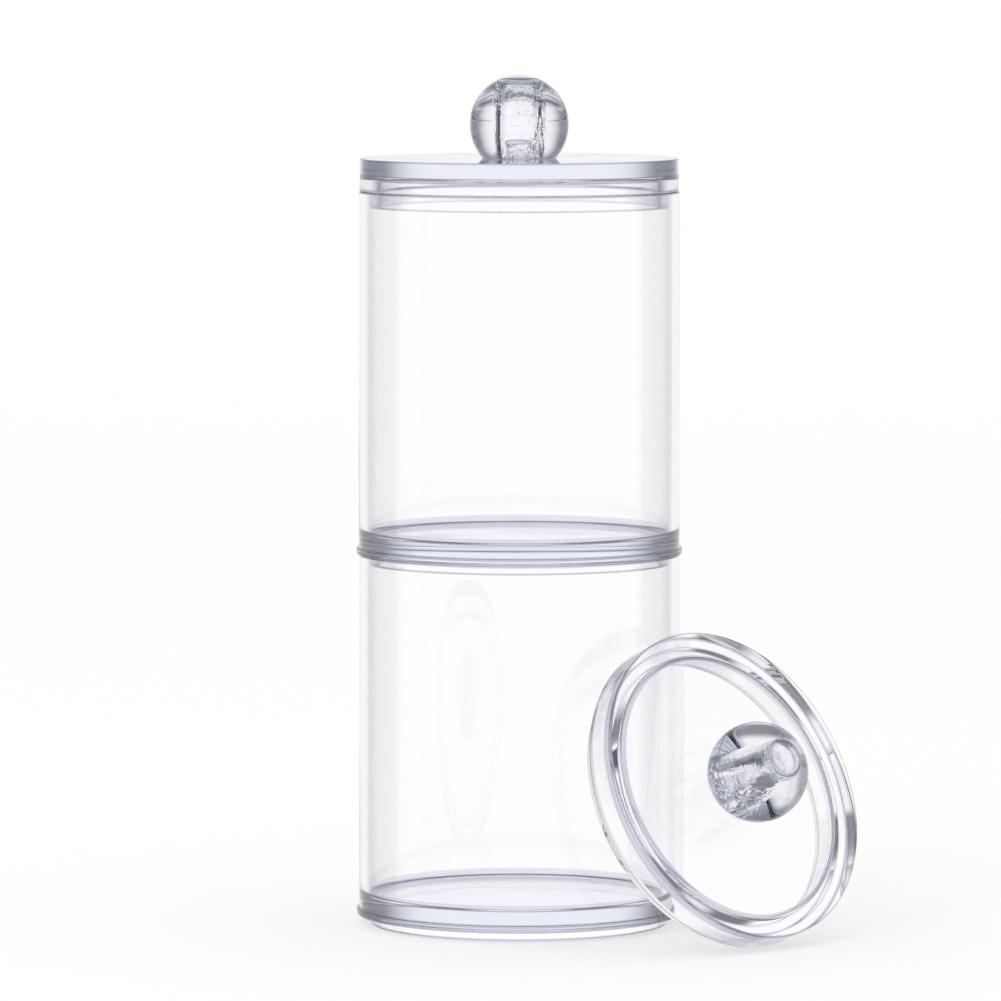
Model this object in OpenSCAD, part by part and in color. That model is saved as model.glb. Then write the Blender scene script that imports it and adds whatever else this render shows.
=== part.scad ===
// Round clear storage box: equal tiers that stack foot in mouth, each with a lid that carries a ball knob.
// Origin: on the stack's axis, at the underside of the lowest foot. +Z is up.

/* [Box] */
// Outer diameter of the wall
box_d = 72; // [60:0.5:90]
// Height from the underside of the base ring to the mouth
box_h = 81.2; // [60:0.4:120]
// Thickness of the wall
wall_t = 2.2; // [1.6:0.1:2.6]
// Thickness of the solid floor
floor_t = 4; // [2:0.1:5]
// Height of the floor's underside above the underside of the base ring
floor_lift = 0.4; // [0.3:0.1:2]
// Radius of the fillet where the floor meets the wall inside
floor_fillet = 1.4; // [0.5:0.1:3]

/* [Base ring and foot] */
// Height of the base ring
ring_h = 1.6; // [1.2:0.1:3]
// How far the base ring stands out from the wall
ring_out = 0.55; // [0.3:0.05:1]
// Height of the foot that stacks into the mouth below it
foot_h = 2.1; // [1.2:0.1:4]
// Thickness of the foot around the hollow under the floor
foot_wall = 2; // [1.4:0.1:3]
// Radius of the fillet at the top of that hollow
hollow_fillet = 0.8; // [0.3:0.1:1.5]

/* [Lid] */
// How far the lid's edge is set in from the wall
lid_inset = 0.3; // [0.1:0.05:1]
// Height of the lid's edge above the mouth
lid_edge_h = 7.4; // [6:0.1:11]
// Thickness of the lid's solid top
lid_top_t = 3.6; // [2:0.1:5]
// Length of the plug that drops into the mouth
plug_len = 3.5; // [2:0.1:8]
// Thickness of the plug's wall
plug_wall = 2.3; // [1.5:0.1:3]
// Radius of the fillet under the lid's top
lid_fillet = 1.2; // [0.4:0.1:2]

/* [Ball knob] */
// Diameter of the ball
ball_d = 22.2; // [18:0.2:30]
// Height of the ball's centre above its flat seat
ball_lift = 7.5; // [6:0.1:8.2]
// Diameter of the blind bore in the ball
bore_d = 8.2; // [7:0.1:9]
// Thickness of the ball over the bore's end
cap_t = 2.6; // [2:0.1:8]
// Height of the peg on the lid that the ball is fixed to
peg_h = 5.1; // [2:0.1:8]
// Diameter of the peg where it leaves the lid
peg_root_d = 4.6; // [4:0.1:6.2]
// Diameter of the peg at its head
peg_head_d = 6.4; // [5:0.1:6.8]

/* [Fits] */
// Gap all round between a foot and the mouth that it stacks into
foot_gap = 0.3; // [0.2:0.05:0.6]
// Gap all round between a lid's plug and the mouth
plug_gap = 0.35; // [0.25:0.05:0.8]
// Gap between the leaning lid and the wall that it leans on
lean_gap = 0.05; // [0.02:0.01:0.3]
// Size of the broken edges
edge_break = 0.25; // [0.1:0.05:0.4]

/* [Leaning lid] */
// Angle by which the lid's knob points up from level
lean_up = 25; // [10:1:45]
// Heading of the knob, turned from +X towards the front
lean_heading = 46; // [20:1:70]
// Bearing of the lid from the stack's axis, turned from +X towards the front
lean_bearing = 38; // [25:0.5:60]

/* [Hidden] */
$fn = 96;
clear_plastic = [0.86, 0.88, 0.95, 0.45];
clear_knob = [0.70, 0.73, 0.82, 0.6];
over = 1;

wall_r = box_d / 2;
mouth_r = wall_r - wall_t;
ring_r = wall_r + ring_out;
foot_r = mouth_r - foot_gap;
hollow_r = foot_r - foot_wall;
mouth_z = foot_h + box_h;
floor_under = foot_h + floor_lift;
floor_top = floor_under + floor_t;

lid_r = wall_r - lid_inset;
plug_r = mouth_r - plug_gap;
lid_hollow_r = plug_r - plug_wall;
lid_h = lid_edge_h + plug_len;
ball_r = ball_d / 2;
peg_root_r = peg_root_d / 2;
peg_head_r = peg_head_d / 2;
bore_end = ball_lift + ball_r - cap_t;

upper_z = box_h;
lid_face_z = upper_z + mouth_z + lid_edge_h;

// The leaning lid stands on the lower edge of its side or of its plug, whichever reaches lower.
lean_face_z = max(lid_r * cos(lean_up) + lid_edge_h * sin(lean_up),
                  plug_r * cos(lean_up) + lid_h * sin(lean_up));
knob_way = [cos(lean_up) * cos(lean_heading), -cos(lean_up) * sin(lean_heading), sin(lean_up)];
level_way = [sin(lean_heading), cos(lean_heading), 0];
rise_way = [-sin(lean_up) * cos(lean_heading), sin(lean_up) * sin(lean_heading), cos(lean_up)];
bearing_way = [cos(lean_bearing), -sin(lean_bearing)];

// A point at angle a on the lid's circle of radius r, at depth d under its top, as the lid leans.
function lean_point(r, d, a) = r * (cos(a) * rise_way + sin(a) * level_way) - d * knob_way;
// How far out along the bearing such a point has to go to be clear of the wall, or 0 if it never meets it.
function lean_reach(p, clear_r) =
    let (along = p.x * bearing_way.x + p.y * bearing_way.y,
         inside = along * along - p.x * p.x - p.y * p.y + clear_r * clear_r)
    inside < 0 ? 0 : sqrt(inside) - along;
function lean_circle(r, d) = max([for (a = [0:1:359]) lean_reach(lean_point(r, d, a), wall_r + lean_gap)]);
lean_out = max(lean_circle(lid_r, lid_edge_h), lean_circle(plug_r, lid_h), lean_circle(lid_r, 0));

// A square from the axis to radius r, between two heights, with its far corner rounded at height z_round.
module rounded_hollow(r, z_round, z_open, fillet) {
    way = sign(z_open - z_round);
    corner_z = z_round + way * fillet;
    translate([0, min(corner_z, z_open)]) square([r, abs(z_open - corner_z)]);
    translate([0, min(z_round, corner_z)]) square([r - fillet, fillet]);
    translate([r - fillet, corner_z]) circle(fillet);
}

module box_section() {
    e = edge_break;
    difference() {
        polygon([
            [0, 0], [foot_r - e, 0], [foot_r, e], [foot_r, foot_h],
            [ring_r - e, foot_h], [ring_r, foot_h + e],
            [ring_r, foot_h + ring_h - e], [ring_r - e, foot_h + ring_h], [wall_r, foot_h + ring_h],
            [wall_r, mouth_z - e], [wall_r - e, mouth_z],
            [mouth_r + e, mouth_z], [mouth_r, mouth_z - e], [0, mouth_z - e]
        ]);
        rounded_hollow(mouth_r, floor_top, mouth_z + over, floor_fillet);
        rounded_hollow(hollow_r, floor_under, -over, hollow_fillet);
    }
}

// One moulded tier: wall, floor, base ring and stacking foot.
module storage_box() {
    rotate_extrude() box_section();
}

module lid_section() {
    e = edge_break;
    difference() {
        polygon([
            [0, peg_h], [peg_head_r - e, peg_h], [peg_head_r, peg_h - e], [peg_root_r, 0],
            [lid_r - e, 0], [lid_r, -e],
            [lid_r, -lid_edge_h + e], [lid_r - e, -lid_edge_h], [plug_r, -lid_edge_h],
            [plug_r, -lid_h + e], [plug_r - e, -lid_h], [0, -lid_h]
        ]);
        rounded_hollow(lid_hollow_r, -lid_top_t, -lid_h - over, lid_fillet);
    }
}

// One moulded lid, with its top at z = 0, its plug below and its peg above.
module lid() {
    rotate_extrude() lid_section();
}

module knob_section() {
    e = edge_break;
    difference() {
        intersection() {
            translate([0, ball_lift]) circle(ball_r);
            square([ball_r, ball_lift + ball_r]);
        }
        translate([0, -over]) square([bore_d / 2, bore_end - e + over]);
        translate([0, bore_end - 2 * e]) square([bore_d / 2 - e, 2 * e]);
    }
}

// The ball, with its flat seat at z = 0.
module knob() {
    rotate_extrude() knob_section();
}

module on_stack() {
    translate([0, 0, lid_face_z]) children();
}

module leaning() {
    translate([lean_out * bearing_way.x, lean_out * bearing_way.y, lean_face_z])
        rotate([0, 90 - lean_up, -lean_heading])
            children();
}

module lower_box() {
    color(clear_plastic) storage_box();
}

module upper_box() {
    color(clear_plastic) translate([0, 0, upper_z]) storage_box();
}

module upper_lid() {
    color(clear_plastic) on_stack() lid();
}

module upper_knob() {
    color(clear_knob) on_stack() knob();
}

module loose_lid() {
    color(clear_plastic) leaning() lid();
}

module loose_knob() {
    color(clear_knob) leaning() knob();
}

lower_box();
upper_box();
upper_lid();
upper_knob();
loose_lid();
loose_knob();
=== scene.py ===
"""Round storage box: two clear stacking tiers with ball-knob lids, one lid on and one leaning beside."""

import math

import bpy
import numpy as np
from bpy.props import FloatProperty, FloatVectorProperty, PointerProperty
from bpy.types import NodeSocket, Operator, Panel, PropertyGroup
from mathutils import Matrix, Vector


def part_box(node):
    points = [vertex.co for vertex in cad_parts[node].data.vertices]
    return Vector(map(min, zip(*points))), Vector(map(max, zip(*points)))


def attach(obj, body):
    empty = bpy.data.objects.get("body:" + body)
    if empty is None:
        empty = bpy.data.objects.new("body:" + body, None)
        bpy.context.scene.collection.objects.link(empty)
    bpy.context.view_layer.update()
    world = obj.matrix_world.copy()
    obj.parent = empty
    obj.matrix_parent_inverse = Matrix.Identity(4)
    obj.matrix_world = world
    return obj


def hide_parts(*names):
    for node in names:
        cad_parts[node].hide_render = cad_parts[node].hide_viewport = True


bl_info = {
    "name": "Round storage box",
    "version": (1, 0, 0),
    "blender": (4, 5, 0),
    "location": "View3D > Sidebar > Storage Box",
    "description": "Dresses a clear stacking box, its lids and its ball knobs around their solid model",
    "category": "Object",
}

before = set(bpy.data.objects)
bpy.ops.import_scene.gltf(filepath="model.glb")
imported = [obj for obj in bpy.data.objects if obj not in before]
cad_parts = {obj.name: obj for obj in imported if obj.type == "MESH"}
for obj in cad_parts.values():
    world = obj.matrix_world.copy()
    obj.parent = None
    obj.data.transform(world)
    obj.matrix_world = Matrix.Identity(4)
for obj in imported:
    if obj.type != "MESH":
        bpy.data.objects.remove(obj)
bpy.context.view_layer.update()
LOWER_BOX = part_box("lower_box")
UPPER_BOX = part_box("upper_box")
UPPER_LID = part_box("upper_lid")
UPPER_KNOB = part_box("upper_knob")
LOOSE_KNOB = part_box("loose_knob")

PLACE = "place_in_mould"
IN_BORE = "in_bore"
ON_EDGE = "on_edge"

# Steps round a full turn, along a rounded corner, along a ball's outline and across its parting line, and how
# many half widths of that line they reach to either side.
TURN_STEPS = 288
CORNER_STEPS = 7
BALL_STEPS = 90
SEAM_STEPS = 25
SEAM_WIDTHS = 3
# The floor's steps round, its rings and the radius of the first one.
FLOOR_TURN_STEPS = 96
FLOOR_RINGS = 24
FLOOR_CENTRE_R = 0.05

# Air left between pieces that touch.
AIR_GAP = 0.00003
# How far the edge mark, along which shade is painted, fades out beside an edge, the parts of a short side of
# which the fade takes one, the share of the mark that a plug's edges keep, and the power that shapes the
# fade.
EDGE_REACH = 0.00025
SHORT_SIDE_PARTS = 3
PLUG_MARK = 0.3
RIM_POWER = 0.7

# Sizes of the patterns, as repeats per metre.
BOX_WAVES = 45.0
LID_WAVES = 60.0
KNOB_WAVES = 120.0
SMUDGES = 70.0
WRINKLES = 460.0
CREASES = 330.0
WRINKLE_PATCHES = 130.0
PAPER_GRAIN = 900.0

# How the patterns are drawn out along each axis, and how far the wrinkles bend the creases, in metres.
WAVE_STRETCH = (1.0, 1.0, 0.35)
HAIRLINES = (40.0, 40.0, 900.0)
CREASE_BEND = (0.002, 0.002, 0.002)

# Ranges of a pattern's value over which each mark sets in, with its height or its least share, and the range
# of the paper's grain with its tones.
SMUDGE_START = (0.52, 0.78)
HAIRLINE_START = (0.66, 0.74)
CREASE_WIDTH = 0.14
CREASE_HEIGHT = 0.5
PATCH_START = (0.46, 0.58)
PATCH_LEAST = 0.1
GRAIN_RANGE = (0.3, 0.7)
GRAIN_TONES = (0.99, 1.0)

# How often light may pass through plastic or bounce off it before it is dropped. Reflections get half of it.
GLASS_BOUNCES = 24

# The studio's brightness by height, as the sine of the elevation and the share of white.
TONE_BY_HEIGHT = (
    (-1.0, 1.0), (-0.97, 1.0), (-0.9, 0.12), (-0.72, 0.12), (-0.56, 1.0),
    (0.4, 1.0), (0.6, 0.4), (0.82, 0.4), (0.93, 1.0),
)
# The same by the way round: the cosine of the angle from straight behind the object, and the share.
TONE_ROUND = (
    (-1.0, 0.3), (-0.38, 0.15), (-0.2, 1.0), (0.18, 1.0),
    (0.28, 0.0), (0.46, 0.0), (0.66, 0.16), (0.93, 1.0),
)
# Heights over which the studio opens overhead and beneath, and over which level light ends, as sines too.
OVERHEAD = (0.75, 0.92)
BENEATH = (-0.45, -0.3)
LEVEL_END = (0.28, 0.42)
# How far a heading points to the back, or below 0 to the front, while the front opens to level light.
FRONT = (-0.35, -0.1)
# Surfaces that light crosses on its way through both walls of a tier, and how far from that its count may be.
BOX_SURFACES = 4.0
SURFACES_OFF = 1.5

# Where the soft panel stands and what it aims at, and how far the camera sees.
PANEL_SPOT = Vector((-0.7, -0.8, 1.1))
PANEL_AIM = Vector((0, 0, 0.08))
VIEW_REACH = 10.0

# Sockets of a colour mix: its two colours and its result.
MIX_FIRST, MIX_SECOND, MIX_RESULT = 6, 7, 2


def length(name, description, default):
    """A size in metres."""
    return FloatProperty(name=name, description=description, default=default, unit="LENGTH", precision=5)


def share(name, description, default):
    """A plain number."""
    return FloatProperty(name=name, description=description, default=default, precision=4)


def colour(name, description, default):
    """A colour in linear red, green and blue."""
    return FloatVectorProperty(name=name, description=description, default=default, subtype="COLOR", size=3)


def angle(name, description, degrees):
    """An angle, given in degrees and kept in radians."""
    return FloatProperty(name=name, description=description, default=math.radians(degrees), subtype="ANGLE")


class BoxSizes(PropertyGroup):
    """Sizes of one tier, from the underside of its foot."""

    ring_d: length("Ring diameter", "Diameter over the base ring", 2 * LOWER_BOX[1].x)
    mouth_z: length("Mouth height", "Height of the mouth above the foot's underside", LOWER_BOX[1].z)
    tier: length("Tier", "Rise from one tier's foot to the next one's", UPPER_BOX[0].z)
    wall_t: length("Wall", "Thickness of the wall", 0.0022)
    floor_t: length("Floor", "Thickness of the solid floor", 0.004)
    floor_lift: length("Floor lift", "Height of the floor's underside above the ring's underside", 0.0004)
    floor_fillet: length("Floor fillet", "Radius where the floor meets the wall inside", 0.0014)
    ring_h: length("Ring height", "Height of the base ring", 0.0016)
    ring_out: length("Ring step", "How far the base ring stands out from the wall", 0.00055)
    foot_h: length("Foot height", "Height of the stacking foot", 0.0021)
    foot_wall: length("Foot wall", "Thickness of the foot around its hollow", 0.002)
    foot_gap: length("Foot gap", "Gap all round between the foot and the mouth below it", 0.0003)
    hollow_fillet: length("Hollow fillet", "Radius at the top of the foot's hollow", 0.0008)
    edge: length("Edge rounding", "Radius of the moulded edges", 0.00025)
    ring_edge: length("Ring rounding", "Radius of the base ring's edges", 0.0004)


class LidSizes(PropertyGroup):
    """Sizes of one lid, from its top face down."""

    lid_d: length("Lid diameter", "Diameter of the lid's edge", 2 * UPPER_LID[1].x)
    peg_h: length("Peg height", "Height of the peg that carries the knob", UPPER_LID[1].z - UPPER_KNOB[0].z)
    lid_h: length("Lid height", "Height from plug's end to top face", UPPER_KNOB[0].z - UPPER_LID[0].z)
    plug_len: length("Plug length", "Length of the plug that drops into the mouth", 0.0035)
    plug_gap: length("Plug gap", "Gap all round between the plug and the mouth", 0.00035)
    plug_wall: length("Plug wall", "Thickness of the plug's wall", 0.0023)
    top_t: length("Top", "Thickness of the solid top", 0.0036)
    fillet: length("Fillet", "Radius under the top", 0.0012)
    peg_root_d: length("Peg root", "Diameter of the peg where it leaves the lid", 0.0046)
    peg_head_d: length("Peg head", "Diameter of the peg at its head", 0.0064)
    edge: length("Edge rounding", "Radius of the moulded edges", 0.00025)
    lean_up: angle("Lean", "How far the leaning lid's knob points up from level", 25)
    lean_heading: angle("Heading", "Where that knob points, turned from +X towards the front", 46)


class KnobSizes(PropertyGroup):
    """Sizes of one ball knob, from its flat seat."""

    ball_d: length("Ball diameter", "Diameter of the ball", LOOSE_KNOB[1].x - LOOSE_KNOB[0].x)
    height: length("Height", "Height of the ball over its seat", UPPER_KNOB[1].z - UPPER_KNOB[0].z)
    bore_d: length("Bore diameter", "Diameter of the blind bore", 0.0082)
    cap_t: length("Cap", "Thickness of the ball over the bore's end", 0.0026)
    bore_dome: length("Bore dome", "Radius at the bore's end", 0.0006)
    edge: length("Edge rounding", "Radius of the seat's edges", 0.00025)
    glue_top: share("Joint marks above", "Share of the joint's wrinkles left at the bore's end", 0.35)
    seam_depth: length("Seam depth", "Depth of the parting line round the ball", 0.00005)
    seam_width: length("Seam width", "Half width of the parting line", 0.00012)


class Finish(PropertyGroup):
    """The clear moulded plastic, and the shade painted along its edges."""

    ior: share("Refraction", "Index of refraction", 1.49)
    tint: colour("Body tint", "Colour that light keeps on its way through plastic", (0.88, 0.895, 0.955))
    depth: share("Tint depth", "How fast thick plastic takes its tint, per metre", 22.0)
    knob_tint: colour("Knob tint", "Colour that light keeps on its way through a knob", (0.62, 0.66, 0.78))
    knob_depth: share("Knob tint depth", "How fast a knob takes its tint, per metre", 14.0)
    # These six set the painted shade: the grey that a tier's, a lid's or a knob's surface takes edge-on and
    # along its moulded edges.
    box_painted_edge_shade: colour("Tiers edge-on", "Colour of a tier's surface seen edge-on", (0.62, 0.63, 0.74))
    box_painted_rim_shade: colour("Tier rims", "Colour of a tier's moulded edges, which gather light", (0.62, 0.63, 0.75))
    box_turn: share("Tier turn", "How far a tier's surface has to turn away before it greys", 0.6)
    lid_turn: share("Lid turn", "The same for a lid or a knob", 0.3)
    lid_painted_edge_shade: colour("Lids edge-on", "Colour of a lid's or knob's surface seen edge-on", (0.50, 0.52, 0.66))
    lid_painted_rim_shade: colour("Lid rims", "Colour of a lid's or a knob's moulded edges", (0.44, 0.45, 0.57))
    gloss: share("Polish", "Roughness of the polished mould's surface", 0.0)
    haze: share("Haze", "Roughness added where the surface is handled", 0.05)
    flow_height: length("Flow marks", "Height of the waves that the moulding leaves", 0.00003)
    glue_height: length("Joint marks", "Height of the wrinkles in the knob's bore", 0.0004)


class Studio(PropertyGroup):
    """Camera, floor and light."""

    lens: share("Lens", "Focal length in millimetres on a full-frame sensor", 280.6)
    distance: length("Distance", "Distance from the camera to the stack", 1.75)
    pitch: angle("Pitch", "How far the camera looks down", 4.52)
    side_step: length("Side step", "How far the camera stands to the left of the stack's axis", 0.0042)
    aim_drop: length("Aim drop", "How far below the middle of the height the camera aims", 0.00014)
    floor_r: length("Floor radius", "Radius of the floor", 2.2)
    floor_fade: length("Floor fade", "Radius from which the floor fades into the backdrop", 0.5)
    floor_white: share("Floor white", "Share of plain white in the floor. The rest takes shadows", 0.62)
    ambient: share("Ambient", "Strength of the even light from all round", 0.95)
    panel_power: share("Panel power", "Power of the soft light panel in watts", 3.0)
    panel_w: length("Panel width", "Width of the soft light panel", 0.9)
    flag_relief: share("Flag relief", "How pale flags are to light that glanced off or crossed a tier", 0.93)
    shade: colour("Shade", "Colour of the studio's dark parts", (0.045, 0.052, 0.085))


class StorageBox(PropertyGroup):
    """Everything that can be set."""

    box: PointerProperty(type=BoxSizes)
    lid: PointerProperty(type=LidSizes)
    knob: PointerProperty(type=KnobSizes)
    finish: PointerProperty(type=Finish)
    studio: PointerProperty(type=Studio)


# Outlines

def rounded(corners):
    """Points, outward normals and edge marks of an outline, from corners of (radius, height, rounding).

    At a corner the outline turns from the heading of the side before it to that of the side after it, along
    a circle of the corner's rounding that touches both sides. The circle starts before the corner by the
    rounding times the tangent of half the turn. The plastic lies to the left of the way round, so the normal
    is the heading turned a quarter to the right. One more point lies EDGE_REACH before each circle and after
    it, or one of SHORT_SIDE_PARTS along a short side. The mark is 1 on the circles and 0 at all other points.
    """
    corners = np.array(corners, float)
    spots, rounding = corners[:, :2], corners[1:-1, 2][:, None]
    sides = np.diff(spots, axis=0)
    sides /= np.linalg.norm(sides, axis=1)[:, None]
    before, after = sides[:-1], sides[1:]
    cross = before[:, 0] * after[:, 1] - before[:, 1] * after[:, 0]
    turn = np.arctan2(cross, (before * after).sum(1))[:, None]
    hand = np.sign(turn)
    left = before[:, ::-1] * (-1, 1)
    centre = spots[1:-1] - before * rounding * np.tan(np.abs(turn) / 2) + left * rounding * hand
    heading = np.arctan2(before[:, 1:], before[:, :1]) + turn * np.linspace(0, 1, CORNER_STEPS)
    normals = np.stack([np.sin(heading), -np.cos(heading)], -1)
    points = centre[:, None] + (hand * rounding)[..., None] * normals
    starts = np.concatenate([spots[:1], points[:, -1]])
    stops = np.concatenate([points[:, 0], spots[-1:]])
    lengths = np.linalg.norm(stops - starts, axis=1)
    reach = np.minimum(EDGE_REACH, lengths / SHORT_SIDE_PARTS)[:, None] * sides
    points = np.concatenate([(stops - reach)[:-1, None], points, (starts + reach)[1:, None]], 1)
    normals = np.concatenate([normals[:, :1], normals, normals[:, -1:]], 1)
    # The edge mark says where the finish paints shade along the moulded edges.
    marks = np.tile(np.r_[0.0, np.ones(CORNER_STEPS), 0.0], len(points))
    ends = sides[[0, -1]][:, ::-1] * (1, -1)
    points = np.concatenate([spots[:1], points.reshape(-1, 2), spots[-1:]])
    normals = np.concatenate([ends[:1], normals.reshape(-1, 2), ends[1:]])
    return points, normals, np.r_[0.0, marks, 0.0]


def arc(centre_z, centre_r, radius, angles):
    """Points and normals of a round stretch: at each angle from level, the point a radius from the centre."""
    way = np.stack([np.cos(angles), np.sin(angles)], 1)
    return way * radius[:, None] + (centre_r, centre_z), way


def box_outline(s):
    """Section of a tier: floor, foot hollow, foot, base ring, wall and mouth, and back along the inside."""
    wall_r = s.ring_d / 2 - s.ring_out
    mouth_r = wall_r - s.wall_t
    foot_r = mouth_r - s.foot_gap
    hollow_r = foot_r - s.foot_wall
    floor_under = s.foot_h + s.floor_lift
    ring_top = s.foot_h + s.ring_h
    rim = s.mouth_z - AIR_GAP
    return rounded([
        (0, floor_under, 0),
        (hollow_r, floor_under, s.hollow_fillet),
        (hollow_r, 0, s.edge),
        (foot_r, 0, s.edge),
        (foot_r, s.foot_h, s.edge / 2),
        (s.ring_d / 2, s.foot_h, s.ring_edge),
        (s.ring_d / 2, ring_top, s.ring_edge),
        (wall_r, ring_top, s.ring_out / 3),
        (wall_r, rim, s.edge),
        (mouth_r, rim, s.edge),
        (mouth_r, floor_under + s.floor_t, s.floor_fillet),
        (0, floor_under + s.floor_t, 0),
    ])


def lid_outline(s, mouth_r):
    """Section of a lid, with its top face at height 0: hollow, plug, seat, deep edge, top face and peg.

    The plug's edges keep only PLUG_MARK of their edge mark, so less shade is painted along them.
    """
    lid_r = s.lid_d / 2
    plug_r = mouth_r - s.plug_gap
    hollow_r = plug_r - s.plug_wall
    seat = s.plug_len - s.lid_h
    points, normals, marks = rounded([
        (0, -s.top_t, 0),
        (hollow_r, -s.top_t, s.fillet),
        (hollow_r, -s.lid_h, s.edge),
        (plug_r, -s.lid_h, s.edge),
        (plug_r, seat, s.edge / 2),
        (lid_r, seat, s.edge),
        (lid_r, 0, s.edge),
        (s.peg_root_d / 2, 0, s.edge),
        (s.peg_head_d / 2, s.peg_h, s.edge),
        (0, s.peg_h, 0),
    ])
    marks[points[:, 1] < seat] *= PLUG_MARK
    return points, normals, marks


def knob_outline(s):
    """Section of a knob, with its marks: the bore from its end to the seat, then the ball up to its top.

    The ball's radius dips at the equator by the seam's depth times e to the minus (angle / seam angle)
    squared. The bore mark falls along the bore's wall from 1 at the seat to glue_top at its end, and is 0
    elsewhere. The wall's first point comes after the outline's first point and those of the first corner.
    """
    ball_r = s.ball_d / 2
    lift = s.height - ball_r
    seat = AIR_GAP
    bore_end = s.height - s.cap_t
    seat_edge_r = math.sqrt((ball_r - s.edge) ** 2 - (lift - seat - s.edge) ** 2)
    seat_turn = math.atan2(seat + s.edge - lift, seat_edge_r)
    bore = rounded([
        (0, bore_end, 0),
        (s.bore_d / 2, bore_end, s.bore_dome),
        (s.bore_d / 2, seat, s.edge),
        (seat_edge_r, seat, 0),
    ])
    corner_angles = np.linspace(-math.pi / 2, seat_turn, CORNER_STEPS)
    corner = arc(seat + s.edge, seat_edge_r, np.full(CORNER_STEPS, s.edge), corner_angles)
    seam = s.seam_width / ball_r
    around_seam = np.linspace(-SEAM_WIDTHS * seam, SEAM_WIDTHS * seam, SEAM_STEPS)
    angles = np.union1d(np.linspace(seat_turn, math.pi / 2, BALL_STEPS)[1:], around_seam)
    dip = s.seam_depth * np.exp(-((angles / seam) ** 2))
    slope = 2 * angles / seam**2 * dip
    points, way = arc(lift, 0, ball_r - dip, angles)
    across = np.stack([np.sin(angles), -np.cos(angles)], 1)
    normals = way * (ball_r - dip)[:, None] + across * slope[:, None]
    normals /= np.linalg.norm(normals, axis=1)[:, None]
    points[-1, 0] = 0
    outline = np.concatenate([bore[0][:-1], corner[0], points])
    on_edge = np.concatenate([bore[2][:-1], np.ones(CORNER_STEPS), np.zeros(len(points))])
    wall = CORNER_STEPS + 2
    in_bore = np.zeros(len(outline))
    in_bore[[wall, wall + 1]] = s.glue_top, 1.0
    return outline, np.concatenate([bore[1][:-1], corner[1], normals]), on_edge, in_bore


# Surfaces

def upright(height):
    """The place of a piece on the stack's axis, as a turn and a shift."""
    return np.eye(3), np.array([0, 0, height])


def leaning(lid, knob, seat):
    """The place of the leaning lid: its axis rises by lean_up and heads lean_heading to the front of +X.

    Its top face lies back from the ball's centre, which the frame gives, and its edge stands on the floor:
    the face's height is the lid's radius times the cosine of lean_up plus the edge's depth times its sine.
    """
    up, heading = lid.lean_up, lid.lean_heading
    axis = np.array([math.cos(up) * math.cos(heading), -math.cos(up) * math.sin(heading), math.sin(up)])
    level = np.array([math.sin(heading), math.cos(heading), 0])
    turn = np.stack([np.cross(level, axis), level, axis], 1)
    ball = np.array((LOOSE_KNOB[0] + LOOSE_KNOB[1]) / 2)
    face = ball - axis * (knob.height - knob.ball_d / 2)
    face[2] = lid.lid_d / 2 * math.cos(up) + seat * math.sin(up)
    return turn, face


def lathe(name, place, points, normals, on_edge, in_bore=None):
    """A closed surface of revolution, moved to its place.

    An outline point (r, z) gives the ring (r cos t, r sin t, z), with t in even steps round a full turn. The
    two ends lie on the axis and are one point each, joined to the next ring by a fan. The normals are the
    outline's own, turned with t, so that flat and round stretches meet without a crease. Each point also
    keeps its place from before the move and its marks, which the finish reads.
    """
    turn, shift = place
    t = np.linspace(0, 2 * np.pi, TURN_STEPS, endpoint=False)

    def swept(flat):
        rings = flat[1:-1, None]
        r, z = rings[..., 0], rings[..., 1]
        ring = np.stack(np.broadcast_arrays(r * np.cos(t), r * np.sin(t), z), -1)
        ends = np.stack([flat[[0, -1], 0], np.zeros(2), flat[[0, -1], 1]], 1)
        return np.concatenate([ring.reshape(-1, 3), ends])

    spots, ways = swept(points), swept(normals)
    count = (len(points) - 2) * TURN_STEPS
    grid = np.arange(count).reshape(-1, TURN_STEPS)
    beside = np.roll(grid, -1, 1)
    quads = np.stack([grid[:-1], beside[:-1], beside[1:], grid[1:]], -1).reshape(-1, 4)
    first = np.stack([np.full(TURN_STEPS, count), beside[0], grid[0]], -1)
    last = np.stack([grid[-1], beside[-1], np.full(TURN_STEPS, count + 1)], -1)
    mesh = bpy.data.meshes.new(name)
    mesh.from_pydata((spots @ turn.T + shift).tolist(), [], quads.tolist() + first.tolist() + last.tolist())
    mesh.polygons.foreach_set("use_smooth", np.ones(len(mesh.polygons), bool))
    mesh.normals_split_custom_set_from_vertices((ways @ turn.T).tolist())
    kept = mesh.attributes.new(PLACE, "FLOAT_VECTOR", "POINT")
    kept.data.foreach_set("vector", spots.astype(np.float32).ravel())
    # The edge mark says where shade is painted along the moulded edges; the bore mark says where the joint's
    # wrinkles lie.
    for key, marks in ((ON_EDGE, on_edge), (IN_BORE, in_bore)):
        if marks is not None:
            mark = mesh.attributes.new(key, "FLOAT", "POINT")
            marks = np.concatenate([np.repeat(marks[1:-1], TURN_STEPS), marks[[0, -1]]])
            mark.data.foreach_set("value", marks.astype(np.float32))
    piece = bpy.data.objects.new(name, mesh)
    bpy.context.scene.collection.objects.link(piece)
    return piece


def dress(piece, node, body, material):
    """The piece takes its material, stands for its solid and moves with its body."""
    piece.data.materials.append(material)
    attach(piece, body)
    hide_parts(node)


# Finishes, with shade painted along the edges

def add(tree, kind, inputs=None, **settings):
    """A node with its settings. Each input is a value, or a socket that is linked to it."""
    made = tree.nodes.new(kind)
    for key, value in settings.items():
        setattr(made, key, value)
    for key, value in (inputs or {}).items():
        if isinstance(value, NodeSocket):
            tree.links.new(value, made.inputs[key])
        else:
            made.inputs[key].default_value = value
    return made


def maths(tree, operation, *values):
    """One step of arithmetic."""
    return add(tree, "ShaderNodeMath", dict(enumerate(values)), operation=operation).outputs[0]


def most(tree, first, *others):
    """The greatest of several values."""
    for other in others:
        first = maths(tree, "MAXIMUM", first, other)
    return first


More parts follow.
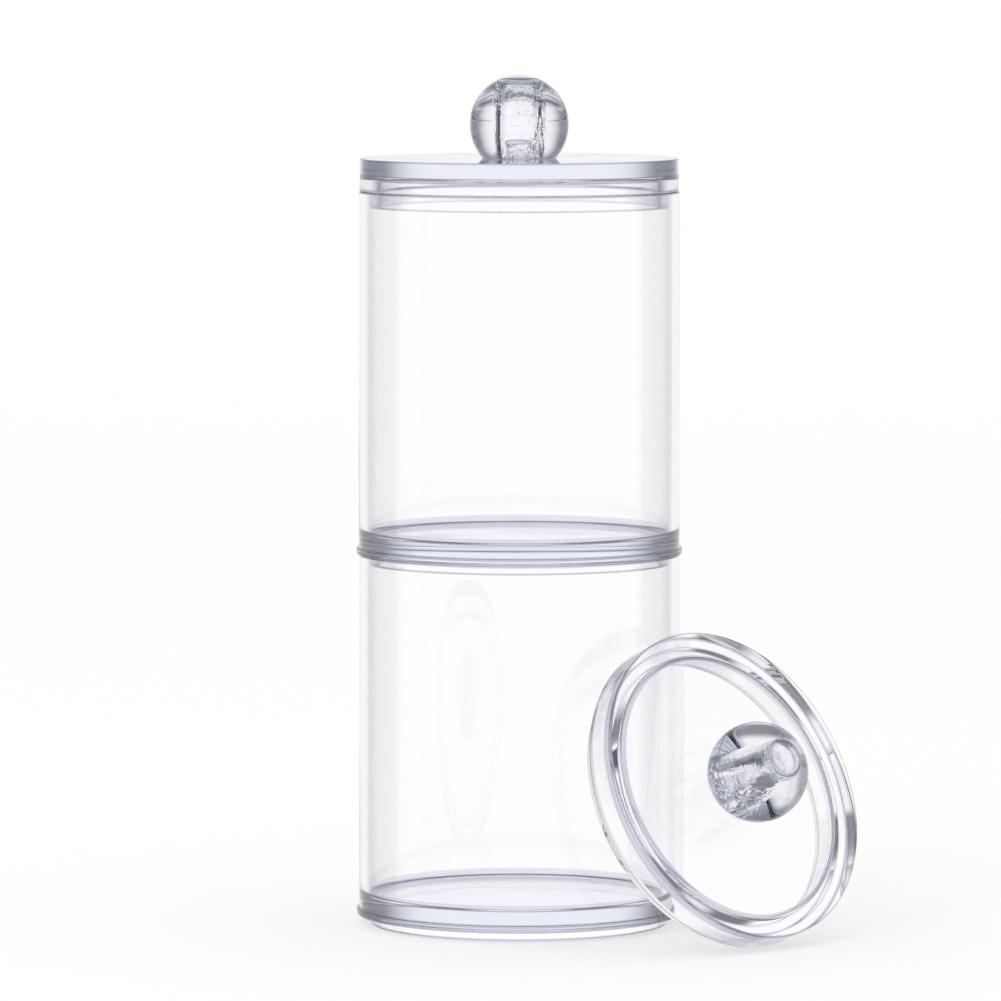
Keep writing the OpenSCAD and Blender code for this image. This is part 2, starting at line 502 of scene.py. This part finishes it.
def mixed(tree, factor, first, second):
    """A mix of two colours. Each is a socket, or red, green and blue."""
    colours = [c if isinstance(c, NodeSocket) else (*c, 1) for c in (first, second)]
    inputs = {"Factor": factor, MIX_FIRST: colours[0], MIX_SECOND: colours[1]}
    return add(tree, "ShaderNodeMix", inputs, data_type="RGBA").outputs[MIX_RESULT]


def spread(tree, value, low, high, to_low, to_high):
    """The value carried smoothly from one range to another."""
    inputs = {"Value": value, "From Min": low, "From Max": high, "To Min": to_low, "To Max": to_high}
    return add(tree, "ShaderNodeMapRange", inputs, interpolation_type="SMOOTHSTEP").outputs["Result"]


def start_group(name, output, **inputs):
    """A node group with its inputs and one number put out, and the sockets that bring the inputs."""
    group = bpy.data.node_groups.new(name, "ShaderNodeTree")
    for key, kind in inputs.items():
        group.interface.new_socket(key, in_out="INPUT", socket_type=kind)
    group.interface.new_socket(output, in_out="OUTPUT", socket_type="NodeSocketFloat")
    return group, group.nodes.new("NodeGroupInput").outputs


def end_group(group, value):
    """The value becomes what the group puts out."""
    group.links.new(value, group.nodes.new("NodeGroupOutput").inputs[0])
    return group


def flow_marks():
    """Node group: the long low waves that the melt leaves as it fills the mould."""
    group, given = start_group("flow_marks", "Height", Place="NodeSocketVector", Size="NodeSocketFloat")
    drawn = add(group, "ShaderNodeVectorMath", {0: given["Place"], 1: WAVE_STRETCH}, operation="MULTIPLY")
    waves = add(group, "ShaderNodeTexNoise", {
        "Vector": drawn.outputs[0], "Scale": given["Size"], "Detail": 1.0, "Distortion": 0.4})
    return end_group(group, waves.outputs["Fac"])


def handling():
    """Node group: faint smudges and hairlines where the plastic has been touched and wiped."""
    group, given = start_group("handling", "Roughness", Place="NodeSocketVector",
                               Polish="NodeSocketFloat", Haze="NodeSocketFloat")
    smudge = add(group, "ShaderNodeTexNoise", {"Vector": given["Place"], "Scale": SMUDGES, "Detail": 3.0})
    wiped = add(group, "ShaderNodeVectorMath", {0: given["Place"], 1: HAIRLINES}, operation="MULTIPLY")
    hairline = add(group, "ShaderNodeTexNoise", {"Vector": wiped.outputs[0], "Scale": 1.0, "Detail": 2.0})
    patch = spread(group, smudge.outputs["Fac"], *SMUDGE_START, 0.0, 1.0)
    line = spread(group, hairline.outputs["Fac"], *HAIRLINE_START, 0.0, 1.0)
    touched = most(group, patch, line)
    return end_group(group, maths(group, "MULTIPLY_ADD", touched, given["Haze"], given["Polish"]))


def bore_wrinkles(tree, place):
    """Height of the joint's wrinkles in a knob's bore: soft folds and sharp creases, in patches."""
    folds = add(tree, "ShaderNodeTexNoise", {
        "Vector": place, "Scale": WRINKLES, "Detail": 1.0, "Distortion": 1.5})
    bent = add(tree, "ShaderNodeVectorMath", {0: folds.outputs["Color"], 1: CREASE_BEND, 2: place},
               operation="MULTIPLY_ADD")
    crease = add(tree, "ShaderNodeTexVoronoi", {"Vector": bent.outputs[0], "Scale": CREASES},
                 feature="DISTANCE_TO_EDGE")
    ridge = spread(tree, crease.outputs["Distance"], 0.0, CREASE_WIDTH, CREASE_HEIGHT, 0.0)
    patch = add(tree, "ShaderNodeTexNoise", {"Vector": place, "Scale": WRINKLE_PATCHES, "Detail": 0.0})
    where = spread(tree, patch.outputs["Fac"], *PATCH_START, PATCH_LEAST, 1.0)
    inside = add(tree, "ShaderNodeAttribute", attribute_name=IN_BORE).outputs["Fac"]
    held = maths(tree, "MULTIPLY", maths(tree, "ADD", folds.outputs["Fac"], ridge), where)
    return maths(tree, "MULTIPLY", held, inside)


def clear_plastic(name, finish, tint, depth, painted_edge_shade, turn, painted_rim_shade, flow_size, bore=False):
    """Clear glossy plastic: see-through and tinted in depth, with painted shade where it is seen edge-on and
    along its moulded edges.

    A knob's plastic also has the joint's wrinkles, where the surface is marked as its bore.
    """
    material = bpy.data.materials.new(name)
    material.use_nodes = True
    tree = material.node_tree
    tree.nodes.clear()
    groups = bpy.data.node_groups
    place = add(tree, "ShaderNodeAttribute", attribute_name=PLACE).outputs["Vector"]
    flow = add(tree, "ShaderNodeGroup", {"Place": place, "Size": flow_size},
               node_tree=groups.get("flow_marks") or flow_marks())
    touch = add(tree, "ShaderNodeGroup", {"Place": place, "Polish": finish.gloss, "Haze": finish.haze},
                node_tree=groups.get("handling") or handling())
    normal = add(tree, "ShaderNodeBump", {"Height": flow.outputs[0], "Distance": finish.flow_height})
    if bore:
        wrinkles = bore_wrinkles(tree, place)
        normal = add(tree, "ShaderNodeBump", {
            "Height": wrinkles, "Distance": finish.glue_height, "Normal": normal.outputs[0]})
    # Painted shade: the base colour greys where the surface turns edge-on to the view.
    facing = add(tree, "ShaderNodeLayerWeight", {"Blend": 0.5}).outputs["Facing"]
    turned = mixed(tree, spread(tree, facing, turn, 1.0, 0.0, 1.0), (1, 1, 1), painted_edge_shade)
    # Painted shade: the moulded edges are darkened along their edge mark.
    rim = add(tree, "ShaderNodeAttribute", attribute_name=ON_EDGE).outputs["Fac"]
    surface = add(tree, "ShaderNodeBsdfPrincipled", {
        "Base Color": mixed(tree, maths(tree, "POWER", rim, RIM_POWER), turned, painted_rim_shade),
        "Roughness": touch.outputs[0],
        "Normal": normal.outputs[0],
        "IOR": finish.ior,
        "Transmission Weight": 1.0,
    })
    body = add(tree, "ShaderNodeVolumeAbsorption", {"Color": (*tint, 1), "Density": depth})
    add(tree, "ShaderNodeOutputMaterial", {"Surface": surface.outputs[0], "Volume": body.outputs[0]})
    return material


# Studio

def floor_surface(studio):
    """A disc just under the foot: rings of points (r cos t, r sin t), with r and t in even steps."""
    t = np.linspace(0, 2 * np.pi, FLOOR_TURN_STEPS, endpoint=False)
    radii = np.linspace(FLOOR_CENTRE_R, studio.floor_r, FLOOR_RINGS)[:, None]
    depth = np.full((FLOOR_RINGS, FLOOR_TURN_STEPS), -AIR_GAP)
    spots = np.stack([radii * np.cos(t), radii * np.sin(t), depth], -1).reshape(-1, 3)
    grid = np.arange(len(spots)).reshape(FLOOR_RINGS, FLOOR_TURN_STEPS)
    beside = np.roll(grid, -1, 1)
    quads = np.stack([grid[:-1], grid[1:], beside[1:], beside[:-1]], -1).reshape(-1, 4)
    mesh = bpy.data.meshes.new("floor")
    mesh.from_pydata(spots.tolist(), [], quads.tolist() + [grid[0].tolist()])
    floor = bpy.data.objects.new("floor", mesh)
    bpy.context.scene.collection.objects.link(floor)
    return floor


def floor_paper(studio):
    """Matt white paper that fades into the backdrop far from the object.

    To the camera it is partly plain white. Light that has passed the plastic or glanced off it goes through
    the paper and sees the studio beneath.
    """
    material = bpy.data.materials.new("floor_paper")
    material.use_nodes = True
    tree = material.node_tree
    tree.nodes.clear()
    place = add(tree, "ShaderNodeTexCoord").outputs["Object"]
    far = add(tree, "ShaderNodeVectorMath", {0: place}, operation="LENGTH").outputs["Value"]
    grain = add(tree, "ShaderNodeTexNoise", {"Vector": place, "Scale": PAPER_GRAIN, "Detail": 2.0})
    tone = spread(tree, grain.outputs["Fac"], *GRAIN_RANGE, *GRAIN_TONES)
    ray = add(tree, "ShaderNodeLightPath").outputs
    paper = add(tree, "ShaderNodeBsdfDiffuse", {"Color": tone})
    white = add(tree, "ShaderNodeEmission", {"Color": tone})
    whiter = maths(tree, "MULTIPLY", ray["Is Camera Ray"], studio.floor_white)
    shown = add(tree, "ShaderNodeMixShader", {0: whiter, 1: paper.outputs[0], 2: white.outputs[0]})
    faded = spread(tree, far, studio.floor_fade, studio.floor_r, 0.0, 1.0)
    fade = most(tree, ray["Is Transmission Ray"], ray["Is Glossy Ray"], faded)
    clear = add(tree, "ShaderNodeBsdfTransparent")
    seen = add(tree, "ShaderNodeMixShader", {0: fade, 1: shown.outputs[0], 2: clear.outputs[0]})
    add(tree, "ShaderNodeOutputMaterial", {"Surface": seen.outputs[0]})
    return material


def tones(tree, value, stops):
    """A ramp of greys, whose stops are given over the range from -1 to 1."""
    place = add(tree, "ShaderNodeMapRange", {"Value": value, "From Min": -1.0, "From Max": 1.0})
    ramp = add(tree, "ShaderNodeValToRGB", {"Fac": place.outputs["Result"]})
    ramp.color_ramp.interpolation = "EASE"
    made = ramp.color_ramp.elements
    made.remove(made[1])
    made[0].position = 0.0
    made[0].color = (stops[0][1],) * 3 + (1,)
    for at, grey in stops[1:]:
        made.new((at + 1) / 2).color = (grey, grey, grey, 1)
    return ramp.outputs["Color"]


def studio_light(studio):
    """The studio round the object: white behind and at the sides, with dark flags between and a dark front.

    Thick plastic bends light from the flags into its edges. Two kinds of near-level light see the flags much
    paler: light that has only glanced off, and light that has come through a whole tier, because thin walls
    don't gather it. All near-level light finds the front white, so the plastic is as clear from behind. Light
    that heads well down finds white all round, but for the dark ring low in TONE_BY_HEIGHT, which gives the
    balls their tone. The backdrop is plain white to the camera, and matt surfaces get even light.
    """
    world = bpy.data.worlds.new("studio")
    bpy.context.scene.world = world
    world.use_nodes = True
    tree = world.node_tree
    tree.nodes.clear()
    heading = add(tree, "ShaderNodeTexCoord").outputs["Generated"]
    way = add(tree, "ShaderNodeSeparateXYZ", {0: heading}).outputs
    ray = add(tree, "ShaderNodeLightPath").outputs
    around = tones(tree, maths(tree, "COSINE", maths(tree, "ARCTAN2", way["X"], way["Y"])), TONE_ROUND)
    overhead = spread(tree, way["Z"], *OVERHEAD, 0.0, 1.0)
    beneath = spread(tree, way["Z"], *BENEATH, 1.0, 0.0)
    surfaces_off = maths(tree, "ABSOLUTE", maths(tree, "SUBTRACT", ray["Transmission Depth"], BOX_SURFACES))
    through_tier = maths(tree, "LESS_THAN", surfaces_off, SURFACES_OFF)
    relief = maths(tree, "MULTIPLY", most(tree, through_tier, ray["Is Reflection Ray"]), studio.flag_relief)
    front = spread(tree, way["Y"], *FRONT, 1.0, 0.0)
    level = spread(tree, maths(tree, "ABSOLUTE", way["Z"]), *LEVEL_END, 1.0, 0.0)
    paler = maths(tree, "MULTIPLY", most(tree, relief, front), level)
    open_way = most(tree, around, overhead, beneath, paler)
    bright = maths(tree, "MULTIPLY", tones(tree, way["Z"], TONE_BY_HEIGHT), open_way)
    bent = add(tree, "ShaderNodeBackground", {"Color": mixed(tree, bright, studio.shade, (1, 1, 1))})
    even = add(tree, "ShaderNodeBackground", {"Color": (1, 1, 1, 1), "Strength": studio.ambient})
    white = add(tree, "ShaderNodeBackground", {"Color": (1, 1, 1, 1)})
    shiny = most(tree, ray["Is Transmission Ray"], ray["Is Glossy Ray"])
    clean = maths(tree, "LESS_THAN", ray["Diffuse Depth"], 0.5)
    by_plastic = maths(tree, "MULTIPLY", shiny, clean)
    lit = add(tree, "ShaderNodeMixShader", {0: by_plastic, 1: even.outputs[0], 2: bent.outputs[0]})
    straight = ray["Is Camera Ray"]
    shown = add(tree, "ShaderNodeMixShader", {0: straight, 1: lit.outputs[0], 2: white.outputs[0]})
    add(tree, "ShaderNodeOutputWorld", {"Surface": shown.outputs[0]})


def light_panel(studio):
    """One wide soft panel, high on the left and in front."""
    lamp = bpy.data.lights.new("soft_panel", "AREA")
    lamp.size = studio.panel_w
    lamp.energy = studio.panel_power
    panel = bpy.data.objects.new("soft_panel", lamp)
    panel.location = PANEL_SPOT
    panel.rotation_euler = (PANEL_AIM - PANEL_SPOT).to_track_quat("-Z", "Y").to_euler()
    bpy.context.scene.collection.objects.link(panel)


def camera(studio):
    """A long lens that looks a little down at the middle of the stack's height."""
    lens = bpy.data.cameras.new("camera")
    lens.lens = studio.lens
    lens.clip_end = VIEW_REACH
    view = bpy.data.objects.new("camera", lens)
    aim = Vector((-studio.side_step, 0, UPPER_KNOB[1].z / 2 - studio.aim_drop))
    back = Vector((0, -math.cos(studio.pitch), math.sin(studio.pitch)))
    view.location = aim + back * studio.distance
    view.rotation_euler = (-back).to_track_quat("-Z", "Y").to_euler()
    bpy.context.scene.collection.objects.link(view)
    bpy.context.scene.camera = view


# Operators

class STORAGE_OT_boxes(Operator):
    """Make the two clear tiers"""

    bl_idname = "storage_box.boxes"
    bl_label = "Clear tiers"

    def execute(self, context):
        settings = context.scene.storage_box
        finish = settings.finish
        outline = box_outline(settings.box)
        look = finish.tint, finish.depth, finish.box_painted_edge_shade, finish.box_turn, finish.box_painted_rim_shade
        plastic = clear_plastic("clear_box", finish, *look, BOX_WAVES)
        for node, body, foot in (("lower_box", "lower", 0), ("upper_box", "upper", settings.box.tier)):
            piece = lathe("clear_" + node, upright(foot), *outline)
            dress(piece, node, body, plastic)
        return {"FINISHED"}


class STORAGE_OT_lids(Operator):
    """Make the lid that is on the stack and the one that leans beside it"""

    bl_idname = "storage_box.lids"
    bl_label = "Clear lids"

    def execute(self, context):
        settings = context.scene.storage_box
        box, lid, finish = settings.box, settings.lid, settings.finish
        mouth_r = box.ring_d / 2 - box.ring_out - box.wall_t
        outline = lid_outline(lid, mouth_r)
        look = finish.tint, finish.depth, finish.lid_painted_edge_shade, finish.lid_turn, finish.lid_painted_rim_shade
        plastic = clear_plastic("clear_lid", finish, *look, LID_WAVES)
        lean = leaning(lid, settings.knob, lid.lid_h - lid.plug_len)
        places = (("upper_lid", "lid", upright(UPPER_KNOB[0].z)), ("loose_lid", "lower", lean))
        for node, body, place in places:
            dress(lathe("clear_" + node, place, *outline), node, body, plastic)
        return {"FINISHED"}


class STORAGE_OT_knobs(Operator):
    """Make the two ball knobs"""

    bl_idname = "storage_box.knobs"
    bl_label = "Ball knobs"

    def execute(self, context):
        settings = context.scene.storage_box
        lid, finish = settings.lid, settings.finish
        outline = knob_outline(settings.knob)
        look = finish.knob_tint, finish.knob_depth, finish.lid_painted_edge_shade, finish.lid_turn, finish.lid_painted_rim_shade
        plastic = clear_plastic("clear_knob", finish, *look, KNOB_WAVES, bore=True)
        lean = leaning(lid, settings.knob, lid.lid_h - lid.plug_len)
        places = (("upper_knob", "lid", upright(UPPER_KNOB[0].z)), ("loose_knob", "lower", lean))
        for node, body, place in places:
            dress(lathe("clear_" + node, place, *outline), node, body, plastic)
        return {"FINISHED"}


class STORAGE_OT_studio(Operator):
    """Set the floor, the light and the camera"""

    bl_idname = "storage_box.studio"
    bl_label = "Studio"

    def execute(self, context):
        studio = context.scene.storage_box.studio
        floor = floor_surface(studio)
        floor.data.materials.append(floor_paper(studio))
        studio_light(studio)
        light_panel(studio)
        camera(studio)
        context.scene.view_settings.view_transform = "Standard"
        cycles = context.scene.cycles
        cycles.max_bounces = cycles.transmission_bounces = GLASS_BOUNCES
        cycles.glossy_bounces = GLASS_BOUNCES // 2
        return {"FINISHED"}


class STORAGE_PT_panel(Panel):
    """Sizes, finish and the steps that build the box"""

    bl_idname = "STORAGE_PT_panel"
    bl_label = "Round Storage Box"
    bl_space_type = "VIEW_3D"
    bl_region_type = "UI"
    bl_category = "Storage Box"

    def draw(self, context):
        settings = context.scene.storage_box
        for name in ("box", "lid", "knob", "finish", "studio"):
            part = self.layout.box()
            part.label(text=name.capitalize())
            group = getattr(settings, name)
            for key in group.__annotations__:
                part.prop(group, key)
        for step in OPERATORS:
            self.layout.operator(step.bl_idname)


OPERATORS = (STORAGE_OT_boxes, STORAGE_OT_lids, STORAGE_OT_knobs, STORAGE_OT_studio)
CLASSES = (BoxSizes, LidSizes, KnobSizes, Finish, Studio, StorageBox, *OPERATORS, STORAGE_PT_panel)


def register():
    """Add the classes and the scene's settings."""
    for kind in CLASSES:
        bpy.utils.register_class(kind)
    bpy.types.Scene.storage_box = PointerProperty(type=StorageBox)


def unregister():
    """Take them away again."""
    del bpy.types.Scene.storage_box
    for kind in reversed(CLASSES):
        bpy.utils.unregister_class(kind)


def main():
    """Build everything."""
    register()
    bpy.ops.storage_box.boxes()
    bpy.ops.storage_box.lids()
    bpy.ops.storage_box.knobs()
    bpy.ops.storage_box.studio()


if __name__ == "__main__":
    main()
